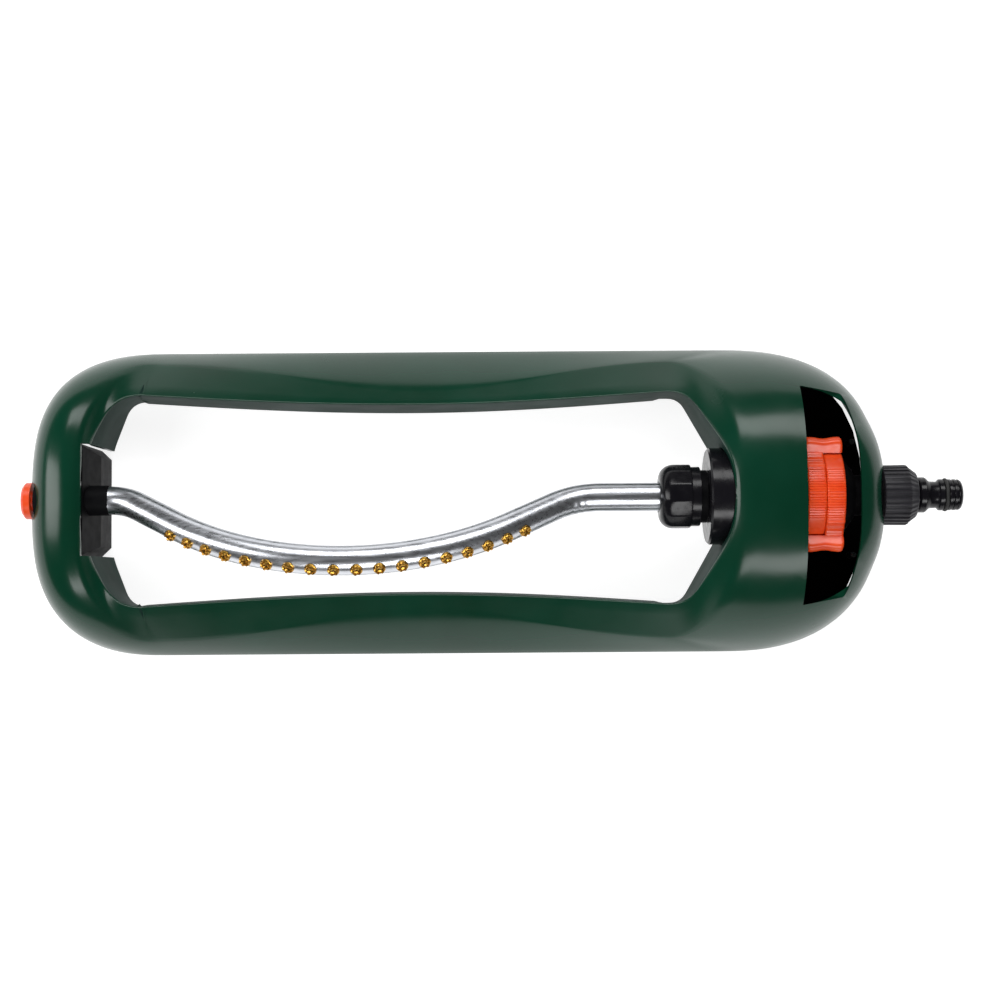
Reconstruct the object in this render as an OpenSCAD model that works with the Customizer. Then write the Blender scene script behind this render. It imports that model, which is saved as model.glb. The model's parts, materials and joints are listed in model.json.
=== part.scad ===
// Oscillating garden sprinkler: a moulded shell, an arched spray tube that
// swings about its own ends, a water motor and an inlet with a hose tail.
// The tube's axis runs along X, the inlet is at +X, and Z is up.

/* [Shell] */
// Length of the shell at its base
body_l = 443; // [380:1:520]
// Width of the shell at its base
body_w = 162; // [156:1:194]
// Height of the motor housing
crest_r = 69; // [68:0.5:80]
// Height of the plain end
crest_l = 59; // [58:0.5:70]
// Height of the rails at their inner edge
rail_h = 36; // [30:0.5:42]
// Wall thickness of the shell
wall = 2.4; // [2:0.1:3]
// Height of the tube's axis above the ground
axis_z = 41; // [40:0.5:43]

/* [Opening] */
// Half width of the opening at its corners
opening_y = 54.8; // [50:0.2:62]
// How far each rail bows into the opening
rail_bow = 6; // [2:0.5:8]

/* [Spray tube] */
// Outside diameter of the tube
tube_d = 14.6; // [12:0.1:16]
// Wall thickness of the tube
tube_t = 1; // [0.8:0.1:1.4]
// Rise of the arch above the axis
arch_h = 50; // [44:1:56]
// Radius of the arch
arch_r = 143; // [130:1:156]
// How far the arch leans from upright when at rest
lean = 40; // [0:1:44]
// Distance between nozzles along the arch
nozzle_pitch = 10.65; // [9:0.05:11.5]
// Diameter of a nozzle's head
nozzle_d = 6; // [5:0.1:7]

/* [Motor] */
// Outside diameter of the motor case
case_d = 43; // [42:0.5:44]
// Outside diameter of the flange seen in the opening
flange_d = 49.5; // [48:0.5:51]
// Outside diameter of the limit rings
ring_d = 50; // [49:0.5:52]
// Width of each limit ring
ring_w = 9.3; // [8:0.1:10]
// Outside diameter of the nut on the tube
nut_d = 33; // [30:0.5:34]
// Tooth module of the reduction gears
gear_m = 0.48; // [0.44:0.01:0.5]

/* [Inlet] */
// Outside diameter of the inlet thread
thread_d = 20.96; // [20:0.01:22]
// Outside diameter of the connector nut
knurl_d = 31; // [29:0.5:33]
// Diameter of the hose tail's end
tail_d = 16; // [15.6:0.1:16.4]

/* [Hidden] */
reach = 38.2;                      // hose tail beyond the shell
x_l = -(body_l + reach) / 2;      // plain end of the shell
x_r = x_l + body_l;               // inlet end of the shell
half_w = body_w / 2;
fit = 0.05;                       // gap between pieces of one body
run = 0.08;                       // radial gap of a running fit
clear = 0.35;                     // gap between pieces that move apart
big = 400;

// stations on the shell
wall_l = x_l + 35.8;              // inner face of the plain end
wall_r = x_r - 81.2;              // inner face of the motor housing
top_l = x_l + 28.8;               // crest of the plain end
top_r = x_r - 73.7;               // crest of the motor housing
crease_y = half_w - 8.7;          // crease on the rails, at their ends
crease_bow = 15;
crease_z = 18;                    // height of the crease at the rail ends
crease_rise = 11;                 // and its rise at mid rail
mid_u = 0.52;                     // narrowest place of the rails
end_l = 67;                       // length of the base's rounding, plain end
end_r = 80.6;                     // and inlet end
round_l = 2.86;                   // how square each rounding is
round_r = 2.6;
end_n = 8;                        // steps round each end
rail_n = 14;                      // steps along a rail

// spray tube, in the plane of the arch
tube_r = tube_d / 2;
tube_sides = 24;
arch_x = x_l + 167;
bend_l = 37;
bend_r = 35.3;
bend_rad_l = 26;
bend_rad_r = 41.4;
straight_l = (arch_h - (arch_r + bend_rad_l) * (1 - cos(bend_l))) / sin(bend_l);
straight_r = (arch_h - (arch_r + bend_rad_r) * (1 - cos(bend_r))) / sin(bend_r);
tube_l = arch_x - (arch_r + bend_rad_l) * sin(bend_l) - straight_l * cos(bend_l);
tube_rr = arch_x + (arch_r + bend_rad_r) * sin(bend_r) + straight_r * cos(bend_r);
nozzles = 18;
nozzle_hole = 1.8;

// plain end, along X
block_y = 28.5;
block_back = wall_l - 14;
trunnion_r = tube_r + 0.45;
trunnion_in = tube_l + 0.2;       // open end of the trunnion, round the tube
trunnion_out = x_l + 6.7;
tube_in = trunnion_out + 14;      // where the tube stops inside the trunnion
cap_r = 9.4;
cap_out = x_l + 0.6;
needle_l = 26;

// motor, along X
nut_in = wall_r - 35.7;
nut_step = nut_in + 16.2;
nut_out = nut_in + 20.9;
disc_in = wall_r - 11.1;
case_in = wall_r;
ring_in = wall_r + 37.2;
ring_out = ring_in + 2 * ring_w + clear;
case_out = ring_out + 0.6;
neck_out = case_out + 6.5;
case_r = case_d / 2;
screw_in = 2.2;                   // flange screws, in from the rim
bore_r = case_r - 1.9;
spindle_r = 6;
hub_r = 4;                        // spindle where it carries the gear
cup_r = 10.5;
cup_in = nut_in + 8.7;
plate_in = wall_r + 22;
plate_t = 2;
gear_w = 3;
gear_step = 4.3;
gear_in = plate_in + plate_t + 1;
teeth = 28;
pinion = 14;
lay_y = gear_m * (teeth + pinion) / 2;
pin_r = 1;
wheel_in = gear_in + 4 * gear_step + 0.6;
wheel_w = 7.3;
wheel_r = 16.8;
valve_in = wheel_in + wheel_w + 1;
valve_t = 2.4;
valve_r = 16.5;
jet_in = valve_in + valve_t + 0.5;
jet_t = 2.4;
valve_swing = 8;

// inlet, along X
boss_out = x_r - 3.8;             // floor of the recess round the connector nut
thread_out = x_r + 6.7;
knurl_in = boss_out + 0.4;
knurl_step = knurl_in + 13.4;
knurl_out = knurl_in + 18.1;
tail_in = thread_out + 1.3;
tail_out = x_r + reach;
tail_r = tail_d / 2;
window_y = 56;
window_in = ring_in - 0.8;
window_out = ring_in + 26.8;
cover_z = 2;                      // underside of the motor cover
cover_t = 2;
tab_reach = 32.5;

function nozzle_name(i) = str("nozzle_", i < 10 ? "0" : "", i);

// ---- small helpers ----

function unit(v) = v / norm(v);
function mix(a, b, t) = a * (1 - t) + b * t;

// A round piece along X: points are [x, radius] pairs
module turned(points) {
    rotate([0, 90, 0]) rotate([0, 0, 90]) rotate_extrude($fn = 64)
        polygon([for (p = points) [p[1], p[0]]]);
}

// A cylinder along X from a to b
module rod(a, b, r, sides = 48) {
    translate([a, 0, 0]) rotate([0, 90, 0]) cylinder(h = b - a, r = r, $fn = sides);
}

// A ring along X
module collar(a, b, outer, inner) {
    difference() {
        rod(a, b, outer);
        rod(a - 1, b + 1, inner);
    }
}

module on_axis() { translate([0, 0, axis_z]) children(); }

// Leans the arch from upright to where it rests
module leaned() { on_axis() rotate([lean, 0, 0]) children(); }

// ---- outlines of the shell ----

// Quarter of a superellipse: 0 at the end's middle, 1 at the rail
function corner(cx, a, b, n, v) =
    [cx + a * pow(cos(90 * v), 2 / n), b * pow(sin(90 * v), 2 / n)];

// A corner with a slanted wall between two rounded turns
function rounded(p, v, q, cut) =
    let (s = v + unit(p - v) * cut, e = v + unit(q - v) * cut)
    [for (i = [0:4]) let (t = i / 4) mix(mix(s, v, t), mix(v, e, t), t)];
function slanted(start, turn_a, turn_b, end, cut_a, cut_b) =
    concat([start], rounded(start, turn_a, turn_b, cut_a),
           rounded(turn_a, turn_b, end, cut_b), [end]);
function lengths(path, i = 0, total = 0) = i == len(path) ? [] :
    let (here = i == 0 ? 0 : total + norm(path[i] - path[i - 1]))
    concat([here], lengths(path, i + 1, here));
function along(path, v) =
    let (run_up = lengths(path), d = v * run_up[len(path) - 1])
    [for (k = [0, 1]) lookup(d, [for (i = [0:len(path) - 1]) [run_up[i], path[i][k]]])];

function bow(u) = cos(90 * (u < mid_u ? (mid_u - u) / mid_u : (u - mid_u) / (1 - mid_u)));
function swell(v) = pow(cos(90 * pow(v, 1.3)), 2);

// Each outline gives [x, y] for a place on half the loop:
// part 0 is the plain end, 1 the rail and 2 the inlet end
function base_line(part, v) =
    part == 0 ? corner(x_l + end_l, -end_l, half_w, round_l, v) :
    part == 2 ? corner(x_r - end_r, end_r, half_w, round_r, v) :
    [mix(x_l + end_l, x_r - end_r, v), half_w];
function crease_line(part, v) =
    part == 0 ? corner(top_l + 37, -37, crease_y, 2.4, v) :
    part == 2 ? corner(top_r - 35, 35, crease_y, 2, v) :
    [mix(top_l + 37, top_r - 35, v), crease_y - crease_bow * pow(bow(v), 2)];
function inner_line(part, v, out) =
    part == 0 ? along(slanted([wall_l - 1.5 * out, 0], [wall_l - 1.5 * out, 25],
        [wall_l + 11.5 - 0.4 * out, opening_y + 0.3 * out],
        [wall_l + 20, opening_y], 10, 8 + 6 * out), v) :
    part == 2 ? along(slanted([wall_r, 0], [wall_r, 18], [wall_r - 21 + 0.8 * out, opening_y],
        [wall_r - 31, opening_y], 8 + 4 * out, 6 + 4 * out), v) :
    [mix(wall_l + 20, wall_r - 31, v), opening_y - 0.8 * (1 - out) - rail_bow * bow(v)];

function crest(part) = part == 0 ? crest_l : crest_r;
function crease_height(part, v) = part == 1 ? crease_z + crease_rise * pow(bow(v), 2) :
    mix(crease_z, crest(part), swell(v));
function ridge_height(part, v) = part == 1 ? rail_h :
    mix(rail_h, crest(part) - (part == 0 ? 6 : 2.5), swell(v));
// How full the wall is; the inlet end is nearly upright round the nut
function upright(v) = v < 0.3 ? 1.9 * pow(cos(300 * v), 2) : 0;
function bulge(part, v) = part == 1 ? 1.15 :
    mix(1.15, part == 0 ? 2.8 : 3.5 + upright(v), pow(swell(v), 0.6));

// The outside of the shell at one station, from the base over the crest to the opening
function station(part, v) =
    let (base = base_line(part, v), crease = crease_line(part, v),
         top = crease_height(part, v), e = 2 / bulge(part, v),
         ridge = inner_line(part, v, 1), inside = inner_line(part, v, 0),
         ridge_z = ridge_height(part, v))
    concat(
        [for (i = [0:5]) let (a = 18 * i, f = 1 - pow(cos(a), e), p = mix(base, crease, f))
            [p[0], p[1], top * pow(sin(a), e)]],
        [let (p = mix(crease, ridge, 0.5)) [p[0], p[1], mix(top, ridge_z, 0.5)],
         [ridge[0], ridge[1], ridge_z],
         [inside[0], inside[1], 0]]);

// The inside of the wall: each point moves square to the section
function hollow(s) =
    let (n = len(s) - 1, dir = unit([s[0][0] - s[n][0], s[0][1] - s[n][1]]),
         flat = [for (p = s) [p[0] * dir[0] + p[1] * dir[1], p[2]]])
    [for (i = [0:n])
        let (before = unit(i == 0 ? [0, 1] : flat[i] - flat[i - 1]),
             after = unit(i == n ? [0, -1] : flat[i + 1] - flat[i]),
             a = [-before[1], before[0]], b = [-after[1], after[0]],
             middle = unit(a + b), push = middle * wall / max(0.35, middle * a))
        [s[i][0] + dir[0] * push[0], s[i][1] + dir[1] * push[0],
         i == 0 || i == n ? 0 : s[i][2] + push[1]]];

half_loop = concat(
    [for (i = [0:end_n - 1]) station(0, i / end_n)],
    [for (i = [0:rail_n - 1]) station(1, i / rail_n)],
    [for (i = [end_n:-1:0]) station(2, i / end_n)]);
loop = concat(half_loop,
    [for (i = [len(half_loop) - 2:-1:1]) [for (p = half_loop[i]) [p[0], -p[1], p[2]]]]);

// Closes a ring of sections into one solid
module swept(sections) {
    n = len(sections);
    m = len(sections[0]);
    points = [for (s = sections) each s];
    faces = [for (i = [0:n - 1], j = [0:m - 1])
        let (a = i * m + j, b = i * m + (j + 1) % m,
             c = ((i + 1) % n) * m + (j + 1) % m, d = ((i + 1) % n) * m + j)
        each [[a, c, b], [a, d, c]]];
    polyhedron(points, faces, convexity = 8);
}

module shell_skin() {
    swept([for (s = loop) let (h = hollow(s)) concat(s, [for (i = [len(h) - 1:-1:0]) h[i]])]);
}

module shell_block() {
    swept(loop);
}

screw_spots = [for (y = [-1, 1]) each [[top_r + 12, y * 42], [top_r + 62, y * 30]]];

// Bosses for the screws and the inlet, and cross ribs in the rails, all cut off at the skin
module shell_ribs() {
    for (p = screw_spots) translate([p[0], p[1], cover_z + cover_t + fit])
        cylinder(h = crest_r, r = 4.5, $fn = 32);
    for (p = screw_spots) translate([p[0] - 1, min(p[1], sign(p[1]) * half_w), 12])
        cube([2, half_w - abs(p[1]), crest_r]);
    for (x = [x_l + 90:50:x_r - 110], y = [-half_w, opening_y - 12])
        translate([x - 1, y, 6]) cube([2, half_w - opening_y + 12, rail_h]);
    on_axis() rod(neck_out + 1.5, x_r, knurl_d / 2 + 3);
}

module window_outline() {
    polygon(concat([[window_in, -window_y], [window_in, window_y]],
        [for (t = [1:-0.125:-1]) [window_out - 6 * pow(t, 4), (window_y - 4) * t]]));
}

module frame_shell() {
    color("#14463a") difference() {
        union() {
            shell_skin();
            intersection() {
                shell_block();
                shell_ribs();
            }
        }
        on_axis() rod(x_l - 1, x_l + 22, cap_r + clear);
        on_axis() rod(wall_r - 14, wall_r + 2.9, flange_d / 2 + clear);
        on_axis() rod(neck_out, x_r + 5, thread_d / 2 + fit);
        on_axis() rod(boss_out, x_r + 5, knurl_d / 2 + 0.6);
        translate([wall_l - 3.5, -block_y, -1]) cube([16, 2 * block_y, crest_l]);
        translate([wall_l - wall - 2.2, -block_y, -1]) cube([6, 2 * block_y, crest_l - 7]);
        translate([0, 0, axis_z + 4]) linear_extrude(height = big) window_outline();
        for (p = screw_spots) translate([p[0], p[1], 0]) cylinder(h = 16, r = 1.5 + fit, $fn = 24);
    }
}

module bearing_profile() {
    polygon([[block_back, 4], [wall_l + 1.2, 4], [wall_l + 1.2, axis_z - 12],
        [wall_l - 3.3, crest_l - 8], [block_back, crest_l - 8]]);
}

module end_bearing() {
    color("#161618") difference() {
        intersection() {
            translate([0, block_y - fit, 0]) rotate([90, 0, 0])
                linear_extrude(height = 2 * (block_y - fit)) bearing_profile();
            linear_extrude(height = big) polygon([
                [block_back, -block_y + 6], [block_back + 6, -block_y], [wall_l - 4, -block_y],
                [wall_l + 1.2, -block_y + 5], [wall_l + 1.2, block_y - 5], [wall_l - 4, block_y],
                [block_back + 6, block_y], [block_back, block_y - 6]]);
        }
        on_axis() rod(block_back - 1, wall_l + 5, trunnion_r + run);
    }
}

module end_trunnion() {
    color("#1c1d20") on_axis() turned([
        [trunnion_out, 5.3], [trunnion_out, trunnion_r + 1.1], [block_back - 1.5, trunnion_r + 1.1],
        [block_back - 1.5, trunnion_r],
        [trunnion_in, trunnion_r], [trunnion_in, tube_r + fit], [tube_in, tube_r + fit],
        [tube_in, 5.3]]);
}

module cleaning_cap() {
    color("#e8501c") on_axis() difference() {
        union() {
            turned([[cap_out + 0.8, 0], [cap_out, 0], [cap_out, cap_r - 1.2], [cap_out + 1.2, cap_r],
                [trunnion_out - 1.6, cap_r], [trunnion_out - 1.6, 5.1],
                [trunnion_out + 9, 5.1], [trunnion_out + 9, 0]]);
            translate([cap_out, -1.6, 1.5 - cap_r]) cube([1, 3.2, 2 * cap_r - 3]);
        }
        for (s = [-1, 1]) translate([cap_out - 1, s * 5.4 - 2.6, -4.5]) cube([2.8, 5.2, 9]);
        rod(trunnion_out + 4, trunnion_out + 10, 0.8 + fit, 24);
        collar(trunnion_out + 4.2, trunnion_out + 6.1, 6, 4.3);
    }
}

module cleaning_needle() {
    color("#b9bcc0") on_axis() turned([[trunnion_out + 4, 0], [trunnion_out + 4, 0.8],
        [trunnion_out + needle_l - 3, 0.8], [trunnion_out + needle_l, 0.15], [trunnion_out + needle_l, 0]]);
}

module cap_seal() {
    color("#202020") on_axis() collar(trunnion_out + 4.3, trunnion_out + 6, 5.22, 4.35);
}

// ---- spray tube ----

// Places along the tube's middle in the arch's plane: [x, height, slope]
function bend_path(x, radius, from, to, steps) =
    [for (i = [0:steps]) let (a = mix(from, to, i / steps))
        [x + radius * sin(a), radius * (1 - cos(a)), a]];
tube_path = concat(
    [[tube_in, 0, 0]],
    bend_path(tube_l, bend_rad_l, 0, bend_l, 5),
    [for (i = [0:14]) let (a = mix(bend_l, -bend_r, i / 14))
        [arch_x - arch_r * sin(a), arch_h - arch_r * (1 - cos(a)), a]],
    bend_path(tube_rr, bend_rad_r, -bend_r, 0, 5),
    [[cup_in + 7, 0, 0]]);

function tube_ring(p, r) = [for (i = [0:tube_sides - 1]) let (t = 360 * i / tube_sides, c = r * cos(t))
    [p[0] - c * sin(p[2]), r * sin(t), p[1] + c * cos(p[2])]];

// The tube with its bore, as rings of points joined round and along
module tube_run() {
    m = tube_sides;
    n = len(tube_path);
    points = concat([for (p = tube_path) each tube_ring(p, tube_r)],
                    [for (p = tube_path) each tube_ring(p, tube_r - tube_t)]);
    walls = [for (side = [0, 1], i = [0:n - 2], j = [0:m - 1])
        let (a = side * n * m + i * m + j, b = side * n * m + i * m + (j + 1) % m)
        each side == 0 ? [[a, b, b + m], [a, b + m, a + m]] : [[a, b + m, b], [a, a + m, b + m]]];
    rims = [for (last = [0, 1], j = [0:m - 1])
        let (a = last * (n - 1) * m + j, b = last * (n - 1) * m + (j + 1) % m, in = n * m)
        each last == 0 ? [[a, b + in, b], [a, a + in, b + in]] : [[a, b, b + in], [a, b + in, a + in]]];
    polyhedron(points, concat(walls, rims), convexity = 6);
}

// Angle of each nozzle round the arch, and past its ends along the straight legs
first_s = 1.7 - (nozzles - 1) / 2 * nozzle_pitch;
function nozzle_s(i) = first_s + (i - 1) * nozzle_pitch;
arc_l = arch_r * bend_l * PI / 180;
arc_r = arch_r * bend_r * PI / 180;

// Puts its children on the arch at run s, looking outward along Z
module at_run(s) {
    turn = s < -arc_l ? -bend_l : s > arc_r ? bend_r : s / arch_r * 180 / PI;
    past = s < -arc_l ? s + arc_l : s > arc_r ? s - arc_r : 0;
    translate([arch_x, 0, arch_h - arch_r]) rotate([0, turn, 0]) translate([past, 0, arch_r])
        children();
}

module spray_tube() {
    color("#c9ccd0") leaned() difference() {
        tube_run();
        for (i = [1:nozzles]) at_run(nozzle_s(i)) cylinder(h = tube_r + 2, r = nozzle_hole, $fn = 24);
    }
}

module nozzle(i) {
    seat = tube_r + 0.05;
    color("#c89a3c") leaned() at_run(nozzle_s(i)) difference() {
        union() {
            translate([0, 0, tube_r - tube_t - 0.8]) cylinder(h = 2.2, r = nozzle_hole - fit, $fn = 24);
            translate([0, 0, seat]) cylinder(h = 1.3, r = nozzle_d / 2, $fn = 32);
            translate([0, 0, seat + 1.3]) cylinder(h = 0.7, r = nozzle_d / 2 - 0.8, $fn = 32);
        }
        translate([0, 0, seat - 4]) cylinder(h = 8, r = 0.55, $fn = 24);
        for (a = [0, 90]) rotate([0, 0, a + 45]) translate([-nozzle_d, -0.5, seat + 1.2])
            cube([2 * nozzle_d, 1, 2]);
    }
}

module tube_nut() {
    nut_r = nut_d / 2;
    color("#18181c") leaned() difference() {
        turned([[nut_in, tube_r + 0.2], [nut_in, nut_r - 5], [nut_in + 1.5, nut_r - 2.2],
            [nut_in + 4.5, nut_r - 0.4], [nut_in + 7.5, nut_r], [nut_step, nut_r],
            [nut_step, nut_r - 1.2], [nut_out, nut_r - 1.2], [nut_out, cup_r + fit],
            [cup_in - 3, cup_r + fit], [cup_in - 3, tube_r + 0.2]]);
        for (a = [0:30:330]) rotate([a, 0, 0]) translate([nut_in + 7.8, -3, nut_r - 0.5])
            cube([nut_step - nut_in - 7.9, 6, 2]);
    }
}

module tube_seal() {
    color("#202020") leaned() collar(cup_in - 3 + fit, cup_in - fit, cup_r - 0.3, tube_r + fit);
}

// ---- motor ----

module drive_spindle() {
    color("#2a2a2e") leaned() difference() {
        turned([[cup_in, tube_r + fit], [cup_in, cup_r], [nut_out + fit, cup_r],
            [nut_out + fit, nut_d / 2 - 3], [disc_in - clear, nut_d / 2 - 3],
            [disc_in - clear, spindle_r], [plate_in - 0.6, spindle_r], [plate_in - 0.6, hub_r],
            [gear_in + gear_w + 0.6, hub_r], [gear_in + gear_w + 0.6, pin_r + run],
            [plate_in + 1, pin_r + run], [plate_in + 1, 0], [plate_in - 8, 0], [plate_in - 8, 4],
            [cup_in + 7 + fit, 4], [cup_in + 7 + fit, tube_r + fit]]);
        for (a = [0:90:270]) rotate([a, 0, 0]) translate([plate_in - 11, 0, 0])
            cylinder(h = 10, r = 1.8, $fn = 24);
    }
}

function inv(a) = tan(a) * 180 / PI - a;
function flank(teeth_n, r) =
    let (base_r = gear_m * teeth_n / 2 * cos(20), slack = 0.13 / (gear_m * teeth_n) * 180 / PI)
    90 / teeth_n - slack + inv(20) - (r > base_r ? inv(acos(base_r / r)) : 0);
function tooth_points(teeth_n) =
    let (pitch_r = gear_m * teeth_n / 2, low = pitch_r - 1.15 * gear_m, tip = pitch_r + 0.9 * gear_m,
         radii = [for (i = [0:4]) mix(low, tip, i / 4)])
    [for (k = [0:teeth_n - 1]) let (a = k * 360 / teeth_n)
        each concat([for (r = radii) let (h = a - flank(teeth_n, r)) r * [cos(h), sin(h)]],
                    [for (i = [4:-1:0]) let (r = radii[i], h = a + flank(teeth_n, r)) r * [cos(h), sin(h)]])];

// A spur gear along X whose first tooth points to +Y; half turns it by half a tooth
module spur(a, b, teeth_n, bore, half = false) {
    translate([a, 0, 0]) rotate([90, 0, 90]) difference() {
        rotate([0, 0, half ? 180 / teeth_n : 0]) linear_extrude(height = b - a) polygon(tooth_points(teeth_n));
        if (bore > 0) translate([0, 0, -1]) cylinder(h = b - a + 2, r = bore, $fn = 32);
    }
}

module output_gear() {
    color("#e9e6dc") on_axis() spur(gear_in, gear_in + gear_w, teeth, hub_r + 0.02);
}

// A wheel and its pinion in one piece; the pinion is on the -X side
module compound(start, bore) {
    spur(start, start + gear_step, pinion, bore, true);
    spur(start + gear_step, start + gear_step + gear_w, teeth, bore);
}

module second_lay_gear() {
    color("#e9e6dc") on_axis() translate([0, lay_y, 0]) compound(gear_in, pin_r + run);
}

module middle_gear() {
    color("#e9e6dc") on_axis() compound(gear_in + gear_step + 0.4, pin_r + run);
}

module first_lay_gear() {
    color("#e9e6dc") on_axis() translate([0, lay_y, 0]) compound(gear_in + 2 * gear_step + 0.4, pin_r + run);
}

module turbine_wheel() {
    pinion_in = gear_in + 3 * gear_step + 0.4;
    color("#d8742a") on_axis() difference() {
        union() {
            spur(pinion_in, wheel_in, pinion, 0, true);
            rod(wheel_in, wheel_in + wheel_w, 3.6);
            collar(wheel_in, wheel_in + 1.2, wheel_r, 3.5);
            for (a = [0:30:330]) rotate([a, 0, 0]) translate([wheel_in + 1, 0, 3.2])
                rotate([0, 0, 18]) translate([0, -0.45, 0]) cube([wheel_w - 1.6, 0.9, wheel_r - 4.2]);
        }
        rod(pinion_in - 1, wheel_in + wheel_w + 1, pin_r + run, 32);
    }
}

module spindle_seal() {
    color("#202020") on_axis() collar(disc_in + 4.1, disc_in + 6.4, spindle_r + 2.1, spindle_r + run);
}

module motor_flange() {
    flange_r = flange_d / 2;
    color("#151517") on_axis() difference() {
        turned([[disc_in, spindle_r + run], [disc_in, flange_r - 1], [disc_in + 1, flange_r],
            [case_in - fit, flange_r], [case_in - fit, bore_r - fit], [case_in + 4, bore_r - fit],
            [case_in + 4, bore_r - 2.5], [case_in - 3, bore_r - 2.5], [case_in - 3, spindle_r + 3.5],
            [case_in + 4, spindle_r + 3.5], [case_in + 4, spindle_r + run]]);
        collar(disc_in + 4, disc_in + 6.5, spindle_r + 2.2, 2);
        for (a = [45:90:315]) rotate([a, 0, 0]) translate([0, 0, flange_r - screw_in])
            rod(disc_in + 4, case_in + 1, 1.1, 24);
    }
}

// Four screws from behind the flange
module flange_screws() {
    color("#b9bcc0") on_axis() for (a = [45:90:315]) rotate([a, 0, 0])
        translate([0, 0, flange_d / 2 - screw_in]) {
            rod(disc_in + 4.5, case_in + 2.5 + fit, 1, 24);
            rod(case_in + 2.5 + fit, case_in + 4.1, 1.7, 24);
        }
}

module motor_case() {
    screw_r = flange_d / 2 - screw_in;
    groove_r = case_r - 0.75;
    color("#1b1b1e") on_axis() difference() {
        // the groove behind the flange leaves room for the screw heads
        turned([[case_in, bore_r], [case_in, flange_d / 2], [case_in + 2.5, flange_d / 2],
            [case_in + 2.5, groove_r], [case_in + 4.6, groove_r], [case_in + 4.6, case_r], [case_out, case_r], [neck_out, thread_d / 2 + 2],
            [neck_out, thread_d / 2], [thread_out, thread_d / 2], [thread_out, 8],
            [neck_out, 8], [case_out, bore_r]]);
        for (a = [45:90:315]) rotate([a, 0, 0]) translate([0, 0, screw_r])
            rod(case_in - 1, case_in + 3.5, 1.1, 24);
        // slot for the trip arm
        translate([valve_in - 0.5, -5.5, -case_r - 1]) cube([valve_t + 1, 11, 6]);
    }
}

module gear_plate() {
    color("#e9e6dc") on_axis() difference() {
        rod(plate_in, plate_in + plate_t, bore_r - fit);
        rod(plate_in - 1, plate_in + plate_t + 1, hub_r + run);
        translate([0, lay_y, 0]) rod(plate_in - 1, plate_in + plate_t + 1, pin_r + 0.02, 24);
        for (a = [100, 180, 260]) rotate([a, 0, 0]) translate([0, 13.5, 0])
            rod(plate_in - 1, plate_in + plate_t + 1, 3, 32);
    }
}

module lay_axle() {
    color("#b9bcc0") on_axis() translate([0, lay_y, 0])
        rod(plate_in, gear_in + 3 * gear_step + gear_w + 1, pin_r, 32);
}

module main_axle() {
    color("#b9bcc0") on_axis() rod(plate_in + 1.6, jet_in + jet_t, pin_r, 32);
}

// Two jets turned opposite ways, so that either port drives the wheel its own way
module jet_plate() {
    color("#e9e6dc") on_axis() difference() {
        rod(jet_in, jet_in + jet_t, bore_r - fit);
        rod(jet_in - 1, jet_in + jet_t + 1, pin_r + 0.02, 32);
        for (s = [-1, 1]) rotate([s * 30, 0, 0]) translate([jet_in + jet_t / 2, 0, 12])
            rotate([0, 0, s * 30]) rod(-5, 5, 1.7, 24);
        for (s = [-1, 1]) rotate([s * 68, 0, 0]) translate([0, 0, 18.2])
            rod(jet_in - 1, jet_in + 1.4, 0.5 + fit, 24);
    }
}

module reversing_valve() {
    color("#d8742a") on_axis() difference() {
        union() {
            rod(valve_in, valve_in + valve_t, valve_r);
            translate([valve_in, -2, -case_r + 0.25]) cube([valve_t, 4, 8]);
        }
        rod(valve_in - 1, valve_in + valve_t + 1, pin_r + run, 32);
        for (s = [-1, 1]) rotate([s * 22, 0, 0]) translate([0, 0, 12])
            rod(valve_in - 1, valve_in + valve_t + 1, 2.2, 24);
    }
}

module trip_spring() {
    mid = valve_in + valve_t / 2;
    color("#b9bcc0") on_axis() {
        translate([mid, 0, 0]) rotate([0, 90, 0]) rotate([0, 0, 180 - 68])
            rotate_extrude(angle = 136, $fn = 96) translate([18.2, 0]) circle(r = 0.5, $fn = 24);
        for (s = [-1, 1]) rotate([s * 68, 0, 0]) translate([0, 0, 18.2]) rod(mid, jet_in + 1.3, 0.5, 24);
    }
}

// ---- limit rings ----

// A ribbed ring with one thumb tab; side is +1 for the far one
module limit_ring(start, side) {
    ring_r = ring_d / 2;
    tab_w = ring_out - ring_in;
    difference() {
        union() {
            collar(start, start + ring_w, ring_r - 0.6, case_r + run);
            // ribs on the part that faces up
            for (i = [-9:9]) rotate([i * 3.4, 0, 0]) translate([start + 0.6, -0.35, ring_r - 1])
                cube([ring_w - 1.2, 0.7, 1]);
            // thumb tab over both rings
            rotate([-side * 62, 0, 0]) {
                translate([start, -3.2, ring_r - 2]) cube([ring_w, 6.4, tab_reach - ring_r + 2]);
                translate([ring_in, -3.2, ring_r + clear]) cube([tab_w, 6.4, tab_reach - ring_r - clear]);
                for (s = [-1, 1]) translate([start, s * 6.5 - 1.5, ring_r - 2]) cube([ring_w, 3, 3.1]);
            }
        }
        rod(start - 1, start + ring_w + 1, case_r + run);
    }
}

module far_limit_ring() { color("#e8501c") on_axis() limit_ring(ring_in, 1); }
module near_limit_ring() { color("#e8501c") on_axis() limit_ring(ring_in + ring_w + clear, -1); }

// ---- inlet ----

module inlet_filter() {
    color("#d9d9d4") on_axis() difference() {
        turned([[thread_out - 16, 0], [thread_out - 16, 4], [thread_out - 1.2, 6.4],
            [thread_out - 1.2, 7.9], [thread_out, 7.9], [thread_out, 5.2],
            [thread_out - 14.8, 3], [thread_out - 14.8, 0]]);
        for (a = [0:45:315]) rotate([a, 0, 0]) translate([thread_out - 14, -0.7, 2])
            cube([11, 1.4, 6]);
    }
}

module inlet_washer() {
    color("#202020") on_axis() collar(thread_out + fit, tail_in - fit, thread_d / 2 - 0.3, 5.6);
}

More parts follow.
